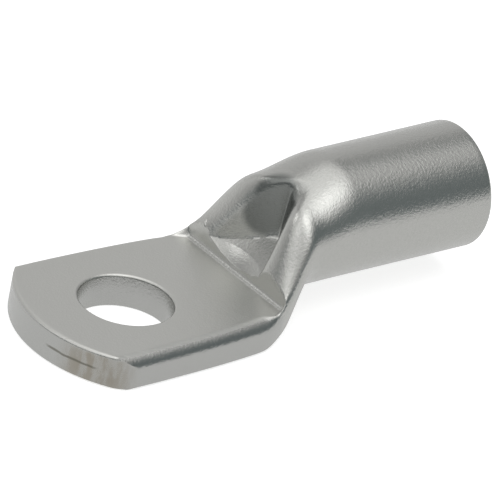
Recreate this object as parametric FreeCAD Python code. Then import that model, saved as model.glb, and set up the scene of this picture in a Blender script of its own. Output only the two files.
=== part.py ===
import FreeCAD, Part
import math
import os
from FreeCAD import Vector

# Tubular cable lug, pressed from one length of tinned copper tube.
# Frame in millimetres: the bolt hole's centre on the palm's underside is the origin,
# +X runs to the barrel's open mouth, +Z goes up through the palm.

# Tube
tube_diameter = 14.0
wall = 2.0
mouth_x = 43.85
barrel_lift = 2.0
mouth_round = 0.3
mouth_chamfer = 0.3

# Palm: the flattened tube's half-width, with what the pressing adds to it
palm_thickness = 3.8
press_spread = 1.475
waist_inset = 0.75
tip_reach = 11.95
tip_radius = 14.8
fold_round = 0.75
foot_round = 0.45
press_bite = 0.05
hole_diameter = 10.5
hole_round = 0.25
seam_gap = 0.12
seam_depth = 0.35

# Neck: where the sides, the underside and the crown turn from the palm's form to the tube's
waist_x = 11.0
fold_start = 0.5
sides_end_x = 21.5
under_start_x = 15.2
under_end_x = 19.7
crown_start_x = 11.9
shoulder_x = 19.1
shoulder_blend = 1.0
shoulder_share = 0.84
barrel_start_x = 26.0
bore_step = 0.03

# Pocket that the upper die's nose presses into the crown, from the press line to the lip.
# Each place is a share of the pocket's length, of its height and of the press line's half-width
press_line_x = 15.0
press_line_inset = 2.05
pocket_length = 5.6
flank_lean = 22.0
crest_round = 0.4
pocket = [
    (0.0, 0.0, 1.0),
    (0.055, 0.05, 0.86),
    (0.28, 0.155, 0.56),
    (0.44, 0.29, 0.33),
    (0.64, 0.49, 0.19),
    (0.82, 0.7, 0.11),
    (1.0, 0.92, 0.04),
]

# Worked out from the sizes above
tube_radius = tube_diameter / 2
bore_radius = tube_radius - wall
axis_z = barrel_lift + tube_radius
crown_z = axis_z + tube_radius
tip_half_width = math.pi / 4 * (tube_diameter - wall) + press_spread
waist_half_width = tip_half_width - waist_inset
press_line_half = waist_half_width - press_line_inset
pocket_height = crown_z - palm_thickness
wall_ahead = 0.8 * wall
wall_below = 0.6 * wall
wall_beside = 1.1 * wall
tip_centre_x = tip_radius - tip_reach

# How far a cutting shape stands clear, the shortest edge that is rounded, and two places in one
clear = 2.0
shortest_crest = 0.1
touch = 0.01


def mix(start, end, share):
    return start + (end - start) * share


def ease(x, start, end):
    """Smooth step from 0 at start to 1 at end."""
    t = min(max((x - start) / (end - start), 0.0), 1.0)
    return t * t * (3 - 2 * t)


def half_width(x):
    """Half the palm's width, which draws in towards the waist."""
    t = min(max((x + tip_reach) / (waist_x + tip_reach), 0.0), 1.0)
    return mix(tip_half_width, waist_half_width, t * t * t)


def tube_share(x, height):
    """How far the sides, and the wall at a height from 0 to 1, have turned to the tube's form."""
    sides = ease(x, waist_x - fold_start, sides_end_x)
    under = ease(x, under_start_x, under_end_x)
    crown = shoulder_share * ease(x, crown_start_x, shoulder_x)
    crown += (1 - shoulder_share) * ease(x, shoulder_x - shoulder_blend, barrel_start_x)
    return sides, mix(under, crown, height)


def flat_point(share, half):
    """Point on the flattened tube, a share of the way from underneath to the top."""
    low = -press_bite
    high = palm_thickness + press_bite
    runs = [
        half - foot_round,
        foot_round * math.pi / 2,
        high - low - foot_round - fold_round,
        fold_round * math.pi / 2,
        half - fold_round,
    ]
    way = share * sum(runs)
    if way <= runs[0]:
        return way, low
    way -= runs[0]
    if way <= runs[1]:
        turn = way / foot_round
        return half - foot_round * (1 - math.sin(turn)), low + foot_round * (1 - math.cos(turn))
    way -= runs[1]
    if way <= runs[2]:
        return half, low + foot_round + way
    way -= runs[2]
    if way <= runs[3]:
        turn = way / fold_round
        return half - fold_round * (1 - math.cos(turn)), high - fold_round * (1 - math.sin(turn))
    way -= runs[3]
    return half - fold_round - way, high


def slit_point(share, half):
    """Point on the closed seam between the two pressed walls."""
    turn = math.pi * share
    return half * math.sin(turn), palm_thickness / 2 - seam_gap / 2 * math.cos(turn)


def ring(x, points, radius, flat, half):
    """Poles of the section at x, once round from underneath."""
    spread = radius / (2 / 3 + math.cos(2 * math.pi / points) / 3)
    far = []
    for n in range(points // 2 + 1):
        share = 2 * n / points
        turn = math.pi * share
        sides, rise = tube_share(x, (1 - math.cos(turn)) / 2)
        flat_y, flat_z = flat(share, half)
        y = mix(flat_y, spread * math.sin(turn), sides)
        z = mix(flat_z, axis_z - spread * math.cos(turn), rise)
        far.append(Vector(x, y, z))
    near = [Vector(p.x, -p.y, p.z) for p in far[-2:0:-1]]
    return far + near


def between(start, end, count):
    """Evenly spaced places from start up to, but not at, end."""
    return [mix(start, end, n / count) for n in range(count)]


def side_face(rings):
    """One smooth face over the rings."""
    knots = len(rings) - 2
    points = len(rings[0])
    surface = Part.BSplineSurface()
    surface.buildFromPolesMultsKnots(
        rings,
        [4] + [1] * (knots - 2) + [4],
        [1] * (points + 1),
        [float(n) for n in range(knots)],
        [float(n) for n in range(points + 1)],
        False, True, 3, 3,
    )
    return surface.toShape()


def end_edge(side, x):
    """Closed edge of a tubular side at x."""
    for edge in side.Edges:
        if edge.isClosed() and abs(edge.BoundBox.Center.x - x) < touch:
            return edge


def end_face(side, x):
    """Flat face that closes a tubular side at x."""
    return Part.Face(Part.Wire([end_edge(side, x)]))


def closed_solid(faces):
    shell = Part.Shell(faces)
    shell.sewShape()
    return Part.Solid(shell)


def formed_side():
    """Outside of the palm and neck, from beyond the tip to the barrel."""
    start = -tip_reach - clear
    steps = between(start, waist_x, 4) + between(waist_x, barrel_start_x, 15) + [barrel_start_x]
    return side_face([ring(x, 48, tube_radius, flat_point, half_width(x)) for x in steps])


def skin():
    """Outside of the pressed tube, from beyond the tip to the mouth."""
    start = -tip_reach - clear
    formed = formed_side()
    barrel = end_edge(formed, barrel_start_x).extrude(Vector(mouth_x - barrel_start_x, 0, 0))
    return closed_solid([end_face(formed, start), formed, barrel, end_face(barrel, mouth_x)])


def bore():
    """Round bore that takes the conductor."""
    length = mouth_x - barrel_start_x + clear
    return Part.makeCylinder(bore_radius, length, Vector(barrel_start_x, 0, axis_z), Vector(1, 0, 0))


def neck_cavity():
    """Inside of the neck, where the bore closes down to the seam behind the pocket."""
    steps = between(press_line_x, barrel_start_x, 8)
    steps += [barrel_start_x, barrel_start_x + clear / 2, barrel_start_x + clear]
    half = waist_half_width - wall
    rings = [ring(x, 24, bore_radius - bore_step, slit_point, half) for x in steps]
    side = side_face(rings)
    ends = [end_face(side, press_line_x), end_face(side, steps[-1])]
    return closed_solid([side] + ends).cut(backed_nose())


def nose_section(x, low, half):
    """Section of the die's nose, open upwards beyond the barrel's top."""
    top = crown_z + clear
    reach = half + (top - low) * math.tan(math.radians(flank_lean))
    points = [Vector(x, -reach, top), Vector(x, -half, low), Vector(x, half, low), Vector(x, reach, top)]
    return Part.makePolygon(points + points[:1])


def pocket_sections(ahead, below, beside):
    """Sections of the nose along the pocket, moved outwards by the given distances."""
    wires = []
    for along, rise, share in pocket:
        x = press_line_x + along * pocket_length + ahead
        z = palm_thickness + rise * pocket_height - below
        wires.append(nose_section(x, z, press_line_half * share + beside))
    return wires


def nose():
    """Upper die: its flat makes the palm's top, its nose the pocket."""
    wide = tip_half_width + clear
    half_way = mix(waist_x, press_line_x, 0.5)
    flat = [
        nose_section(-tip_reach - 2 * clear, palm_thickness, wide),
        nose_section(waist_x - fold_start, palm_thickness, wide),
        nose_section(half_way, palm_thickness, waist_half_width - waist_inset),
    ]
    return Part.makeLoft(flat + pocket_sections(0, 0, 0), True, True)


def backed_nose():
    """The nose together with the wall that it pushes ahead of it."""
    start = nose_section(press_line_x - clear, palm_thickness - wall_below, press_line_half + 2 * wall)
    return Part.makeLoft([start] + pocket_sections(wall_ahead, wall_below, wall_beside), True, True)


def anvil():
    """Flat lower die, which makes the palm's underside."""
    wide = tip_half_width + clear
    length = mouth_x + tip_reach + 2 * clear
    return Part.makeBox(length, 2 * wide, clear, Vector(-tip_reach - 2 * clear, -wide, -clear))


def scrap():
    """What the shear cuts away beyond the rounded tip."""
    wide = tip_half_width + clear
    start = -tip_reach - 2 * clear
    high = palm_thickness + 2 * clear
    strip = Part.makeBox(tip_centre_x - start, 2 * wide, high, Vector(start, -wide, -clear))
    return strip.cut(Part.makeCylinder(tip_radius, high, Vector(tip_centre_x, 0, -clear)))


def seam():
    """Fine open line between the two walls along the sheared tip."""
    low = Vector(tip_centre_x, 0, palm_thickness / 2 - seam_gap / 2)
    disc = Part.makeCylinder(tip_radius + clear, seam_gap, low)
    disc = disc.cut(Part.makeCylinder(tip_radius - seam_depth, seam_gap, low))
    half = tip_half_width - palm_thickness / 2
    return disc.common(Part.makeBox(tip_radius, 2 * half, palm_thickness, Vector(-tip_reach - clear, -half, 0)))


def crest_edges(body):
    """Edges where the pocket's flanks meet the lobes."""
    die = nose()
    side = formed_side()
    edges = []
    for edge in body.Edges:
        middle = Part.Vertex(edge.valueAt((edge.FirstParameter + edge.LastParameter) / 2))
        if edge.BoundBox.XMax < press_line_x + shortest_crest or middle.Z < palm_thickness + touch:
            continue
        if die.distToShape(middle)[0] < touch and side.distToShape(middle)[0] < touch:
            edges.append(edge)
    return edges


def round_edges(body, centre, radius):
    """Circular edges of the given radius about the centre."""
    length = 2 * math.pi * radius
    found = []
    for edge in body.Edges:
        if edge.CenterOfMass.distanceToPoint(centre) < touch and abs(edge.Length - length) < touch:
            found.append(edge)
    return found


def lug():
    mouth = Vector(mouth_x, 0, axis_z)
    palm_top = Vector(0, 0, palm_thickness)
    body = skin().cut(anvil()).cut(nose()).cut(scrap())
    body = body.makeFillet(crest_round, crest_edges(body))
    body = body.makeFillet(mouth_round, round_edges(body, mouth, tube_radius))
    body = body.cut(neck_cavity().fuse(bore()))
    body = body.makeChamfer(mouth_chamfer, round_edges(body, mouth, bore_radius))
    body = body.cut(Part.makeCylinder(hole_diameter / 2, palm_thickness + clear, Vector(0, 0, -clear / 2)))
    body = body.makeFillet(hole_round, round_edges(body, palm_top, hole_diameter / 2))
    return body.cut(seam()).removeSplitter()


parts = {"cable_lug": lug()}

os.makedirs("parts", exist_ok=True)
for name, shape in parts.items():
    print(name, "solids", len(shape.Solids), "valid", shape.isValid(), "volume", round(shape.Volume, 1))
    shape.exportStep(f"parts/{name}.step")
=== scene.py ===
import math

import bmesh
import bpy
from mathutils import Matrix, Vector
from mathutils.geometry import interpolate_bezier


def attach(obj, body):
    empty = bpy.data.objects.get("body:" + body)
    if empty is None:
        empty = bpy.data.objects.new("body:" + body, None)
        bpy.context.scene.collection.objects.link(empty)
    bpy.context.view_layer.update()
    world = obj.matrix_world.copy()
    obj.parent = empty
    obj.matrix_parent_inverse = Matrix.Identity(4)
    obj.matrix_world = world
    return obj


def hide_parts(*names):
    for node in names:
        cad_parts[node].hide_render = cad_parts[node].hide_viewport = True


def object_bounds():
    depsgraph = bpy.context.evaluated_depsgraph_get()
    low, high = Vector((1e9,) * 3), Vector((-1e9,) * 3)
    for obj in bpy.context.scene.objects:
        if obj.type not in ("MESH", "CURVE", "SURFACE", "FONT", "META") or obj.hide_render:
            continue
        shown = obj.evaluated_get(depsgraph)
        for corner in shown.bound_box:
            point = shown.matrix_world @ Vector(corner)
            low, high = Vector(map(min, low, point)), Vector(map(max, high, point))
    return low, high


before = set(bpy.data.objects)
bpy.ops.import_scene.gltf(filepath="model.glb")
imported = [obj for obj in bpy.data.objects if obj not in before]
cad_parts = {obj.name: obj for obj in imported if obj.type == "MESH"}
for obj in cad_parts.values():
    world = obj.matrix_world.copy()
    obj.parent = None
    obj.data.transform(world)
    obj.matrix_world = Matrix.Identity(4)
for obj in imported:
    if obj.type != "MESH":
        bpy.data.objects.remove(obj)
cad_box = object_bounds()


# The tube: the lug is one length of thick copper tube, sawn off square. Its mouth is rounded
# outside and chamfered in the bore. It is still round from end to end here, on the X axis.
# Sizes are in millimetres from the bolt hole's centre on the underside, +X towards the mouth.
mm = 0.001
low_corner = cad_box[0] / mm
high_corner = cad_box[1] / mm
tip_reach = -low_corner.x
mouth_x = high_corner.x
tube_radius = 7.0
wall = 2.0
bore_radius = tube_radius - wall
barrel_start_x = 26.0
slit_end_x = 15.2
mouth_round = 0.3
mouth_chamfer = 0.3
ring_points = 320
same_place = 1e-4
on_the_lip = 1e-3

# The rows of points stand closest where the press line and the pocket will be
waist_rows_x = 12.0
press_rows_start_x = 14.55
press_rows_end_x = 15.45
pocket_rows_end_x = 20.6


def line(bm, start, runs):
    """Line of edges from a place to others, each with a number of steps on the way to it."""
    last = bm.verts.new(start)
    for place, count in runs:
        before = last.co.copy()
        for n in range(count):
            last = bmesh.ops.extrude_vert_indiv(bm, verts=[last])["verts"][0]
            last.co = before.lerp(Vector(place), (n + 1) / count)


def spin_round(bm, axis, steps):
    """Spins a line about an axis through the origin into a skin without a seam."""
    bmesh.ops.spin(
        bm, geom=bm.verts[:] + bm.edges[:], cent=(0, 0, 0), axis=axis, dvec=(0, 0, 0),
        angle=math.tau, steps=steps, use_merge=True,
    )
    bmesh.ops.remove_doubles(bm, verts=bm.verts, dist=same_place)


def take_off_lip(bm, radius, width, segments):
    """Rounds or chamfers the mouth's edge that has this radius."""
    lip = []
    for edge in bm.edges:
        at_mouth = all(abs(v.co.x - mouth_x) < on_the_lip for v in edge.verts)
        if at_mouth and all(abs(v.co.yz.length - radius) < on_the_lip for v in edge.verts):
            lip.append(edge)
    bmesh.ops.bevel(
        bm, geom=lip, offset=width, segments=segments, profile=0.5, affect="EDGES", material=-1,
    )


tube = bmesh.new()
line(
    tube,
    (-tip_reach, 0, -tube_radius),
    [
        ((waist_rows_x, 0, -tube_radius), 36),
        ((press_rows_start_x, 0, -tube_radius), 16),
        ((press_rows_end_x, 0, -tube_radius), 18),
        ((pocket_rows_end_x, 0, -tube_radius), 50),
        ((barrel_start_x, 0, -tube_radius), 27),
        ((mouth_x, 0, -tube_radius), 22),
        ((mouth_x, 0, -bore_radius), 3),
        ((barrel_start_x, 0, -bore_radius), 11),
        ((slit_end_x, 0, -bore_radius), 34),
    ],
)
spin_round(tube, (1, 0, 0), ring_points)
take_off_lip(tube, tube_radius, mouth_round, 4)
take_off_lip(tube, bore_radius, mouth_chamfer, 1)


# The palm and the neck: a pair of dies presses the tube's end flat until its walls meet, with
# only a fine slit left between them, and slopes the neck up to the round barrel. The palm's
# long edges stay folded round, the near one wider than the far one.
palm_thickness = 3.8
tip_half_width = high_corner.y
waist_half_width = tip_half_width - 0.75
foot_round = 0.5
near_fold = 1.6
far_fold = 0.75
slit_gap = 0.12
slit_half_width = waist_half_width - wall
axis_z = high_corner.z - tube_radius

# Where the sides, the underside and the crown turn from the palm's form to the tube's
waist_x = 11.0
sides_start_x = 10.5
sides_end_x = 21.5
under_start_x = 15.2
under_end_x = 19.7
crown_start_x = 11.9
shoulder_start_x = 18.1
shoulder_x = 19.1
shoulder_share = 0.84


def mix(start, end, share):
    return start + (end - start) * share


def ease(x, start, end):
    """Smooth step from 0 at start to 1 at end."""
    t = min(max((x - start) / (end - start), 0.0), 1.0)
    return t * t * (3 - 2 * t)


def flat_point(share, half, fold_round):
    """Place across and up on the flattened tube, a share of the way from underneath to the top."""
    bottom_run = half - foot_round
    foot_run = foot_round * math.pi / 2
    side_run = palm_thickness - foot_round - fold_round
    fold_run = fold_round * math.pi / 2
    top_run = half - fold_round
    way = share * (bottom_run + foot_run + side_run + fold_run + top_run)
    if way <= bottom_run:
        return way, 0.0
    way -= bottom_run
    if way <= foot_run:
        turn = way / foot_round
        return half - foot_round * (1 - math.sin(turn)), foot_round * (1 - math.cos(turn))
    way -= foot_run
    if way <= side_run:
        return half, foot_round + way
    way -= side_run
    if way <= fold_run:
        turn = way / fold_round
        up = palm_thickness - fold_round * (1 - math.sin(turn))
        return half - fold_round * (1 - math.cos(turn)), up
    way -= fold_run
    return top_run - way, palm_thickness


def slit_point(turn):
    """Place across and up on the closed slit between the two pressed walls."""
    return slit_half_width * math.sin(turn), palm_thickness / 2 - slit_gap / 2 * math.cos(turn)


def formed(x, turn, radius, flat):
    """Place across and up that the dies give to a point of the tube, between flat and round."""
    sides = ease(x, sides_start_x, sides_end_x)
    under = ease(x, under_start_x, under_end_x)
    crown = shoulder_share * ease(x, crown_start_x, shoulder_x)
    crown += (1 - shoulder_share) * ease(x, shoulder_start_x, barrel_start_x)
    rise = mix(under, crown, (1 - math.cos(turn)) / 2)
    across = mix(flat[0], radius * math.sin(turn), sides)
    up = mix(flat[1], axis_z - radius * math.cos(turn), rise)
    return across, up


inner_skin = set()
for vert in tube.verts:
    x = vert.co.x
    radius = vert.co.yz.length
    turn = math.atan2(abs(vert.co.y), -vert.co.z)
    near_side = vert.co.y < 0
    if radius < (tube_radius + bore_radius) / 2:
        inner_skin.add(vert)
        y, z = formed(x, turn, radius, slit_point(turn))
        if abs(x - slit_end_x) < same_place:
            z = slit_point(turn)[1]
    else:
        narrowed = min(max((x + tip_reach) / (waist_x + tip_reach), 0.0), 1.0) ** 3
        half = mix(tip_half_width, waist_half_width, narrowed)
        flat = flat_point(turn / math.pi, half, near_fold if near_side else far_fold)
        y, z = formed(x, turn, radius, flat)
    vert.co = Vector((x, -y if near_side else y, max(z, 0.0)))


# The pocket: the upper die's nose presses it into the neck's crown. Behind the press line stand
# a low step, a leaf-shaped strip, the sloping floor, a small wedge beside the far lobe, and the
# steep wall that rolls over into the two lobes and the crown.
press_line_x = 15.0
press_soften = 0.5
flank_lean = 22.0
flank_soften = 0.6
step_fillet = 0.62
step_climb = 0.9
step_slope = 84.0
strip_x = 15.2
strip_z = 4.62
strip_rise = 0.78
strip_curve = 0.13
strip_hollow = 0.045
middle_y = 0.5
ramp_x = 16.45
ramp_z = 5.8
ramp_rise = 0.62
ramp_hollow = 0.02
crease_middle_x = 19.14
crease_skew = 0.385
crease_bow = 0.043
wedge_rise = 3.0
wedge_round = 0.2
wall_rise = 9.0
lobe_z = 6.45
lobe_rise = 2.9
lobe_roll = 2.2
crown_roll = 0.4
crown_lip_x = (17.5, 20.5)
crown_lip_y = (-2.6, 0.6)
near_blend = 2.4
far_blend = 0.8
blend_y = (-5.0, -0.5)
flat_half_width = [(10.5, 12.9), (13.0, 9.3), (15.0, 8.1)]

# The foot of the steep wall, seen from above: two arms that meet under the crown
arm_steps = 18
near_arm = [(14.6, -3.2, 0), (17.2, -4.1, 0), (19.3, -2.3, 0), (20.1, -0.8, 0)]
far_arm = [(20.1, -0.8, 0), (20.35, 0.0, 0), (19.0, 0.9, 0), (14.6, 5.7, 0)]
wall_line = interpolate_bezier(*near_arm, arm_steps)[:-1] + interpolate_bezier(*far_arm, arm_steps)

# Inside the neck, the skin follows the pocket at about a wall's distance
backing_shift = 0.8 * wall
backing_drop = 0.6 * wall
backing_soften = 0.4
lowest_backing = palm_thickness / 2 + 2 * slit_gap


def slope(degrees):
    return math.tan(math.radians(degrees))


def softest(a, b, blend):
    """The lower of two heights, rounded where they cross."""
    near = max(blend - abs(a - b), 0.0) / blend
    return min(a, b) - near * near * blend / 4


def between(pairs, x):
    """Value read from a line through the pairs."""
    for (x0, y0), (x1, y1) in zip(pairs, pairs[1:]):
        if x <= x1:
            return mix(y0, y1, max(x - x0, 0.0) / (x1 - x0))
    return pairs[-1][1]


def inside_wall(x, y):
    """Distance from the wall's line: above 0 inside the pocket."""
    spot = Vector((x, y, 0))
    best = None
    for start, end in zip(wall_line, wall_line[1:]):
        run = end - start
        share = min(max((spot - start).dot(run) / run.length_squared, 0.0), 1.0)
        off = spot - start - run * share
        if best is None or off.length < abs(best):
            best = math.copysign(off.length, run.x * off.y - run.y * off.x)
    return best


def roll_over(inside, radius):
    """Drop of a lip that rolls from level into the steep wall."""
    into = max(inside + radius, 0.0)
    last = radius * wall_rise / math.hypot(1, wall_rise)
    if into <= last:
        return radius - math.sqrt(radius ** 2 - into ** 2)
    return radius - math.sqrt(radius ** 2 - last ** 2) + (into - last) * wall_rise


def pressed(x, y, z):
    """Height of the crown at a place after the upper die has come down on it."""
    along = x - press_line_x
    past_side = max(abs(y) - between(flat_half_width, x), 0.0)
    beside = past_side ** 2 / (past_side + flank_soften) / slope(flank_lean)
    if along <= 0:
        into = max(along + step_fillet, 0.0)
        steepened = into ** 2 * (1 - (1 - step_climb) ** 2)
        lifted = step_fillet - math.sqrt(step_fillet ** 2 - steepened)
        return softest(z, palm_thickness + lifted + beside, press_soften)
    step = palm_thickness + step_fillet * step_climb + along * slope(step_slope)
    up_strip = (x - strip_x) * (strip_rise + strip_curve * (x - strip_x))
    strip = strip_z + strip_hollow * (y - middle_y) ** 2 + up_strip
    ramp = ramp_z + ramp_hollow * (y - middle_y) ** 2 + (x - ramp_x) * ramp_rise
    past_crease = x - crease_middle_x + crease_skew * y + crease_bow * y * y
    wedge = (past_crease + math.hypot(past_crease, wedge_round)) / 2 * (wedge_rise - ramp_rise)
    nose = min(strip, ramp + wedge)
    blend = mix(near_blend, far_blend, ease(y, *blend_y))
    lobes = softest(z, lobe_z + along * lobe_rise + beside, blend)
    roll = mix(lobe_roll, crown_roll, ease(x, *crown_lip_x) * ease(y, *crown_lip_y))
    rolled = lobes - roll_over(inside_wall(x, y), roll)
    return min(step + beside, max(rolled, min(nose, lobes)))


for vert in tube.verts:
    x, y, z = vert.co
    if vert in inner_skin and slit_end_x + same_place < x < barrel_start_x:
        backing = pressed(x - backing_shift, y, z + wall) - backing_drop
        vert.co.z = softest(z, max(backing, lowest_backing), backing_soften)
    elif vert not in inner_skin and sides_start_x < x < barrel_start_x and z > palm_thickness:
        vert.co.z = max(pressed(x, y, z), palm_thickness)


# The tip: a shear cuts the pressed end to a wide arc and rolls its edges over a little. The
# near corner comes out round and the far one nearly sharp. The two walls close up in the cut,
# and inside the tube they close at the foot of the neck.
tip_radius = 14.8
tip_centre_x = tip_radius - tip_reach
tip_skew = 0.3
near_corner = 1.5
far_corner = 0.12
upright_share = 0.98
blend_x = -1.0
face_depth = 0.1
face_cuts = 31
top_roll = 0.35
bottom_roll = 0.3
off_middle = 0.01


def tip_x(y):
    """Place along the lug of the sheared tip, with its corners rounded."""
    arc = tip_centre_x - math.sqrt(tip_radius ** 2 - (y + tip_skew) ** 2)
    corner = near_corner if y < 0 else far_corner
    past = min(max(abs(y) - tip_half_width + corner, 0.0), corner * upright_share)
    return arc + corner - math.sqrt(corner ** 2 - past ** 2)


def close_end(bm, ring, cuts):
    """Closes a pressed ring with a face from its lower to its upper half."""
    middle = palm_thickness / 2
    upper = [e for e in ring if all(v.co.z > middle + off_middle for v in e.verts)]
    lower = [e for e in ring if all(v.co.z < middle - off_middle for v in e.verts)]
    rungs = bmesh.ops.bridge_loops(bm, edges=upper + lower)["edges"]
    bmesh.ops.subdivide_edges(bm, edges=rungs, cuts=cuts, use_grid_fill=True)


tip_ring = [e for e in tube.edges if e.is_boundary and e.verts[0].co.x < 0]
slit_ring = [e for e in tube.edges if e.is_boundary and e.verts[0].co.x > 0]
for vert in tube.verts:
    x, y, z = vert.co
    if x < blend_x and vert not in inner_skin:
        share = (blend_x - x) / (blend_x + tip_reach)
        vert.co.x = x + (tip_x(y) + tip_reach) * share
close_end(tube, tip_ring, face_cuts)

for vert in tube.verts:
    x, y, z = vert.co
    if x < blend_x and abs(x - tip_x(y)) < face_depth:
        over = max(z - palm_thickness + top_roll, 0.0)
        under = max(bottom_roll - z, 0.0)
        back = top_roll - math.sqrt(max(top_roll ** 2 - over ** 2, 0.0))
        back += bottom_roll - math.sqrt(max(bottom_roll ** 2 - under ** 2, 0.0))
        vert.co.x = x + back
close_end(tube, slit_ring, 1)
bmesh.ops.holes_fill(tube, edges=[e for e in tube.edges if e.is_boundary], sides=0)


# The bolt hole: a round punch goes through both pressed walls of the palm, for a 10 mm bolt,
# and the rim is left a little rounded on top. With it, the lug has its whole form.
hole_radius = 5.25
hole_round = 0.3
rim_turn = 84.0
rim_steps = 5
rim_lift = 0.001
punch_below = 1.0
punch_above = 2.0
punch_sides = 144
sharp_over = 38.0


def as_piece(name, bm):
    """Object with the mesh, in the scene."""
    mesh = bpy.data.meshes.new(name)
    bm.to_mesh(mesh)
    bm.free()
    piece = bpy.data.objects.new(name, mesh)
    bpy.context.scene.collection.objects.link(piece)
    return piece


def closed_solid(name, bm):
    """Object with a closed mesh that was made in millimetres, its faces turned outwards."""
    bmesh.ops.recalc_face_normals(bm, faces=bm.faces)
    bmesh.ops.scale(bm, vec=(mm, mm, mm), verts=bm.verts)
    return as_piece(name, bm)


profile = [(hole_radius, 0, -punch_below), (hole_radius, 0, palm_thickness - hole_round)]
for step in range(1, rim_steps + 1):
    turn = math.radians(rim_turn) * step / rim_steps
    out = hole_radius + hole_round * (1 - math.cos(turn))
    profile.append((out, 0, palm_thickness + rim_lift - hole_round * (1 - math.sin(turn))))
profile.append((out, 0, palm_thickness + punch_above))
profile.append((0, 0, palm_thickness + punch_above))
punch = bmesh.new()
line(punch, (0, 0, -punch_below), [(place, 1) for place in profile])
spin_round(punch, (0, 0, 1), punch_sides)

pressed_tube = closed_solid("pressed_tube", tube)
punch_tool = closed_solid("punch_tool", punch)
punching = pressed_tube.modifiers.new("bolt hole", "BOOLEAN")
punching.operation = "DIFFERENCE"
punching.solver = "EXACT"
punching.object = punch_tool
bpy.context.view_layer.update()
depsgraph = bpy.context.evaluated_depsgraph_get()
punched = bpy.data.meshes.new_from_object(pressed_tube.evaluated_get(depsgraph))
lug = bpy.data.objects.new("pressed_lug", punched)
bpy.context.scene.collection.objects.link(lug)
bpy.data.objects.remove(pressed_tube)
bpy.data.objects.remove(punch_tool)
for face in punched.polygons:
    face.use_smooth = True
punched.set_sharp_from_angle(angle=math.radians(sharp_over))


# The tin: the finished form is plated all over with satin tin, which keeps a fine, pitted
# grain. It is more matt where the die pressed the palm. Its colour is painted brighter on the
# palm's top as painted light, and darker on the palm's edges and deep in the fold as painted
# shade.
tin_light = (0.60, 0.60, 0.575, 1)
tin_dark = (0.55, 0.555, 0.53, 1)
palm_top_painted_light = (0.71, 0.71, 0.68, 1)
palm_side_painted_shade = (0.47, 0.475, 0.465, 1)
fold_painted_shade = (0.24, 0.25, 0.24, 1)
palm_light_share = 0.8
side_shade_share = 0.5
palm_fade_x = 14.2
top_start_z = 3.5
top_z = 3.76
fold_shade_crown = (19.0, 0.1, 12.2)
fold_shade_floor = (18.3, 0.9, 9.8)


class Shade:
    """A value in a material's nodes, on which plain arithmetic adds Math nodes."""

    def __init__(self, tree, socket=None):
        self.tree = tree
        self.socket = socket

    def node(self, kind, settings, inputs, output=0):
        """Any node: first its settings, then the values or links of its sockets."""
        made = self.tree.nodes.new(kind)
        for name, value in settings.items():
            setattr(made, name, value)
        for name, value in inputs.items():
            if isinstance(value, Shade):
                self.tree.links.new(value.socket, made.inputs[name])
            else:
                made.inputs[name].default_value = value
        return Shade(self.tree, made.outputs[output] if made.outputs else None)

    def maths(self, operation, *values):
        return self.node("ShaderNodeMath", {"operation": operation}, dict(enumerate(values)))

    def __add__(self, other):
        return self.maths("ADD", self, other)

    def __radd__(self, other):
        return self.maths("ADD", other, self)

    def __sub__(self, other):
        return self.maths("SUBTRACT", self, other)

    def __rsub__(self, other):
        return self.maths("SUBTRACT", other, self)

    def __mul__(self, other):
        return self.maths("MULTIPLY", self, other)

    def __rmul__(self, other):
        return self.maths("MULTIPLY", other, self)

    def __abs__(self):
        return self.maths("ABSOLUTE", self)

    def smooth(self, start, end):
        """From 0 at start to 1 at end."""
        return self.node(
            "ShaderNodeMapRange", {"interpolation_type": "SMOOTHSTEP"},
            {"Value": self, "From Min": start, "From Max": end},
        )

    def colour(self, first, second):
        """Colour that goes from the first to the second as this value goes from 0 to 1."""
        return self.node("ShaderNodeMix", {"data_type": "RGBA"}, {0: self, 6: first, 7: second}, 2)


def new_material(name):
    material = bpy.data.materials.new(name)
    material.use_nodes = True
    tree = material.node_tree
    tree.nodes.clear()
    return material, Shade(tree)


def grain(place, scale, detail, roughness):
    """Noise with spots of about a metre divided by the scale."""
    sockets = {"Vector": place, "Scale": scale, "Detail": detail, "Roughness": roughness}
    return place.node("ShaderNodeTexNoise", {}, sockets)


def away_from(spot, start, end):
    """0 within the start distance of a spot and 1 beyond the end distance, in millimetres."""
    ends = {0: place, 1: Vector(spot) * mm}
    apart = place.node("ShaderNodeVectorMath", {"operation": "DISTANCE"}, ends, "Value")
    return apart.smooth(start * mm, end * mm)


tin, shade = new_material("satin_tin_plate")
place = shade.node("ShaderNodeTexCoord", {}, {}, "Object")
along = shade.node("ShaderNodeSeparateXYZ", {}, {"Vector": place}, "X")
height = shade.node("ShaderNodeSeparateXYZ", {}, {"Vector": place}, "Z")
cloud = grain(place, scale=600.0, detail=2.0, roughness=0.5)
mottle = grain(place, scale=3300.0, detail=3.0, roughness=0.65)
speck = grain(place, scale=6200.0, detail=2.0, roughness=0.7)
spots = speck.smooth(0.36, 0.66) * 0.5 + mottle.smooth(0.3, 0.7) * 0.5
on_palm = 1 - along.smooth(palm_fade_x * mm, press_line_x * mm)
on_top = height.smooth(top_start_z * mm, top_z * mm)
tin_and_painted_shading = spots.colour(tin_dark, tin_light)
# The palm's top face gets a brighter colour: painted light
tin_and_painted_shading = (on_palm * on_top * palm_light_share).colour(tin_and_painted_shading, palm_top_painted_light)
# The palm's sides below its top face get a darker grey: painted shade
tin_and_painted_shading = (on_palm * (1 - on_top) * side_shade_share).colour(tin_and_painted_shading, palm_side_painted_shade)
# Deep in the pocket's fold the colour turns dark: painted shade in the recess
off_fold_shade = away_from(fold_shade_crown, start=2.2, end=3.3) * away_from(fold_shade_floor, start=1.9, end=3.0)
tin_and_painted_shading = (1 - off_fold_shade).colour(tin_and_painted_shading, fold_painted_shade)

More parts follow.
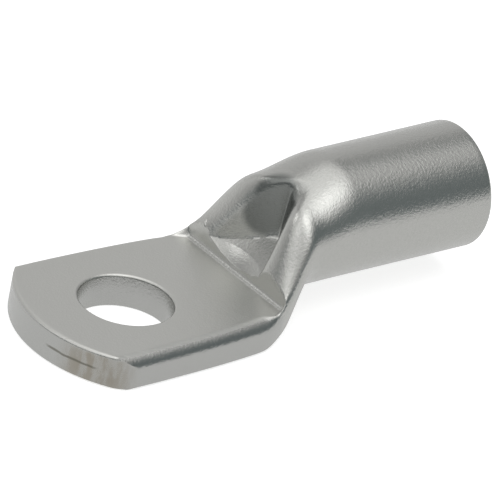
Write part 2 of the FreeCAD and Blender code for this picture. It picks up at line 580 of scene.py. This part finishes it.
# At the sheared tip, the dark line between the two walls and a brown smear beside it, torn in
# streaks from the top to the bottom
seam_dark = (0.16, 0.155, 0.125, 1)
seam_share = 0.75
seam_z = 1.75
seam_wander = 0.3
seam_half = 0.06
seam_edge = 0.2
seam_middle = (-10.6, -4.9, 1.9)
smear_brown = (0.37, 0.34, 0.285, 1)
smear_share = 0.85
smear_middle = (-9.8, -7.8, 1.4)
smear_low_z = 3.3
smear_top_z = 3.7
smear_least = 0.4
streak_stretch = (1.0, 1.0, 0.3)
seam_height = seam_z * mm + cloud * (seam_wander * mm)
off_seam = abs(height - seam_height).smooth(seam_half * mm, seam_edge * mm)
in_seam = (1 - off_seam) * (1 - away_from(seam_middle, start=2.6, end=3.6)) * seam_share
streaky = shade.node("ShaderNodeMapping", {}, {"Vector": place, "Scale": streak_stretch})
torn = grain(streaky, scale=1300.0, detail=4.0, roughness=0.6).smooth(0.36, 0.62)
near_smear = 1 - away_from(smear_middle, start=1.8, end=5.4)
smeared = near_smear * (torn * (1 - smear_least) + smear_least)
smeared = smeared * (1 - height.smooth(smear_low_z * mm, smear_top_z * mm)) * smear_share
colour = in_seam.colour(smeared.colour(tin_and_painted_shading, smear_brown), seam_dark)

# The bore is as drawn, matt and unpolished
bore_mask_radius = (5.2, 5.35)
bore_mask_x = (21.5, 22.5)
bore_dulling = 0.65
across = shade.node(
    "ShaderNodeVectorMath", {"operation": "MULTIPLY_ADD"},
    {0: place, 1: (0, 1, 1), 2: (0, 0, -axis_z * mm)},
)
from_axis = shade.node("ShaderNodeVectorMath", {"operation": "LENGTH"}, {0: across}, "Value")
in_wall = from_axis.smooth(bore_mask_radius[0] * mm, bore_mask_radius[1] * mm)
in_bore = (1 - in_wall) * along.smooth(bore_mask_x[0] * mm, bore_mask_x[1] * mm)
metallic = 1 - in_bore * bore_dulling

# How rough the tin is, and the fine pits that its grain leaves in the surface
polished = 0.1
palm_matt = 0.16
smear_matt = 0.15
bore_matt = 0.4
pit_depth = 0.07
pit_strength = 0.5
rough = polished + cloud * 0.1 + mottle * 0.1 + smeared * smear_matt
rough = rough + on_palm * on_top * palm_matt + in_bore * bore_matt
pits = speck * 0.3 + mottle * 1.0 + cloud * 0.3
relief = shade.node(
    "ShaderNodeBump", {}, {"Strength": pit_strength, "Distance": pit_depth * mm, "Height": pits},
)
surface = shade.node(
    "ShaderNodeBsdfPrincipled", {},
    {"Base Color": colour, "Roughness": rough, "Metallic": metallic, "Normal": relief},
)
shade.node("ShaderNodeOutputMaterial", {}, {"Surface": surface})

lug.data.materials.clear()
lug.data.materials.append(tin)
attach(lug, "root")
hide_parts("cable_lug")


# The floor: a wide sheet of white paper that the lug lies on, just below it. It glows a little
# for the camera and in the tin, so that it stays white, and it keeps the lug's soft shadow.
paper_white = (0.8, 0.8, 0.8, 1)
glow_white = (1, 1, 1, 1)
glow_seen = 0.65
glow_mirrored = 0.64
mirrored_share = 0.85
floor_half_size = 3000.0
floor_drop = 0.1

paper, shade = new_material("white_paper")
camera_ray = shade.node("ShaderNodeLightPath", {}, {}, "Is Camera Ray")
glossy_ray = shade.node("ShaderNodeLightPath", {}, {}, "Is Glossy Ray")
paper_glow = camera_ray * glow_seen + glossy_ray * glow_mirrored
lit = shade.node("ShaderNodeBsdfDiffuse", {}, {"Color": paper_white})
glow = shade.node("ShaderNodeEmission", {}, {"Color": glow_white, "Strength": paper_glow})
seen = shade.node("ShaderNodeAddShader", {}, {0: lit, 1: glow})
white = shade.node("ShaderNodeMixShader", {}, {0: glossy_ray * mirrored_share, 1: seen, 2: glow})
shade.node("ShaderNodeOutputMaterial", {}, {"Surface": white})

sheet = bmesh.new()
bmesh.ops.create_grid(sheet, x_segments=1, y_segments=1, size=floor_half_size * mm)
bmesh.ops.translate(sheet, vec=(0, 0, -floor_drop * mm), verts=sheet.verts)
floor = as_piece("floor", sheet)
floor.data.materials.append(paper)


# The studio: a pale room of soft glows with no hard edges, the key high on the near side. One
# small round lamp behind the lug draws the fine light along the neck. The camera sees the room
# as plain white.
lamp_azimuth = 143.0
lamp_elevation = 38.0
lamp_spread = 9.0
lamp_radiance = 1.3
lamp_away = 700.0
lug_middle = Vector((16.0, 0.0, 7.0))


def direction(azimuth, elevation):
    """Direction seen from the lug: azimuth 0 is towards the mouth, elevation 90 is up."""
    side = math.radians(azimuth)
    climb = math.radians(elevation)
    level = math.cos(climb)
    return Vector((math.cos(side) * level, math.sin(side) * level, math.sin(climb)))


lamp_radius = lamp_away * mm * math.tan(math.radians(lamp_spread))
lamp = bpy.data.lights.new("back_light", "AREA")
lamp.shape = "DISK"
lamp.size = 2 * lamp_radius
lamp.energy = lamp_radiance * math.pi * math.pi * lamp_radius ** 2
back_light = bpy.data.objects.new("back_light", lamp)
to_lamp = direction(lamp_azimuth, lamp_elevation)
lamp_at = (lug_middle + to_lamp * lamp_away) * mm
facing_lug = to_lamp.to_track_quat("Z", "Y").to_matrix().to_4x4()
back_light.matrix_world = Matrix.Translation(lamp_at) @ facing_lug
bpy.context.scene.collection.objects.link(back_light)

world = bpy.data.worlds.new("studio")
bpy.context.scene.world = world
world.use_nodes = True
world.node_tree.nodes.clear()
shade = Shade(world.node_tree)
way = shade.node("ShaderNodeTexCoord", {}, {}, "Generated")


def glow_towards(azimuth, elevation, outer, inner):
    """1 within the inner angle from a direction, falling to 0 at the outer angle."""
    ends = {0: way, 1: direction(azimuth, elevation)}
    facing = way.node("ShaderNodeVectorMath", {"operation": "DOT_PRODUCT"}, ends, "Value")
    return facing.smooth(math.cos(math.radians(outer)), math.cos(math.radians(inner)))


# Each glow's strength, azimuth, elevation, outer and inner angle. Below 0 is a dimmer place.
room_glows = [
    (0.24, 80, 10, 62, 22),      # wall behind the lug
    (0.66, 0, 90, 46, 20),       # ceiling
    (0.8, -90, 58, 34, 8),       # key, high on the near side
    (-0.15, -50, 15, 42, 12),    # dim wall at the camera's right
    (-0.22, -175, -2, 42, 18),   # dim wall, low beyond the tip
    (0.6, -178, 32, 26, 8),      # glow above it
    (0.35, -142, 42, 32, 10),    # glow above the camera
    (0.09, 130, 8, 40, 15),      # faint wall at the camera's left
    (-0.14, 100, 44, 24, 8),     # dim place high behind the lug
    (-0.1, 28, 45, 18, 4),       # dim place high beyond the mouth
]
room = 0.36
for strength, azimuth, elevation, outer, inner in room_glows:
    room = room + strength * glow_towards(azimuth, elevation, outer, inner)

# The room's light is a little cooler where it is dim
cool_air = (0.84, 1.0, 1.03, 1)
plain_air = (1, 1, 1, 1)
camera_ray = shade.node("ShaderNodeLightPath", {}, {}, "Is Camera Ray")
air = (room.smooth(0.1, 0.4) + camera_ray).colour(cool_air, plain_air)
sky_strength = room * (1 - camera_ray) + camera_ray
sky = shade.node("ShaderNodeBackground", {}, {"Color": air, "Strength": sky_strength})
shade.node("ShaderNodeOutputWorld", {}, {"Surface": sky})


# The camera: a long lens looks down at the lug from far off on the near side, a little rolled,
# as in the photograph. The photograph is 500 pixels wide, with photo_scale pixels to a
# millimetre, and the bolt hole's centre on the palm's top lies at the pixel hole_at.
view_azimuth = -132.6
view_elevation = 28.94
view_roll = 10.55
photo_size = 500
photo_scale = 9.33
distance = 1667.0
hole_at = (126.3, 299.7)
quarter = 90.0

back = direction(view_azimuth, view_elevation)
level = direction(view_azimuth + quarter, 0)
turned = Matrix.Rotation(math.radians(view_roll), 3, back)
right = turned @ level
upward = turned @ back.cross(level)
offset_right = (photo_size / 2 - hole_at[0]) / photo_scale
offset_down = (photo_size / 2 - hole_at[1]) / photo_scale
middle = Vector((0, 0, palm_thickness)) + right * offset_right - upward * offset_down

lens = bpy.data.cameras.new("photo_camera")
lens.sensor_width = 36
lens.lens = lens.sensor_width * photo_scale * distance / photo_size
lens.clip_start = 0.1
lens.clip_end = 20
camera = bpy.data.objects.new("photo_camera", lens)
pose = Matrix((right, upward, back)).transposed().to_4x4()
camera.matrix_world = Matrix.Translation((middle + back * distance) * mm) @ pose
bpy.context.scene.collection.objects.link(camera)
bpy.context.scene.camera = camera
bpy.context.scene.view_settings.view_transform = "Standard"
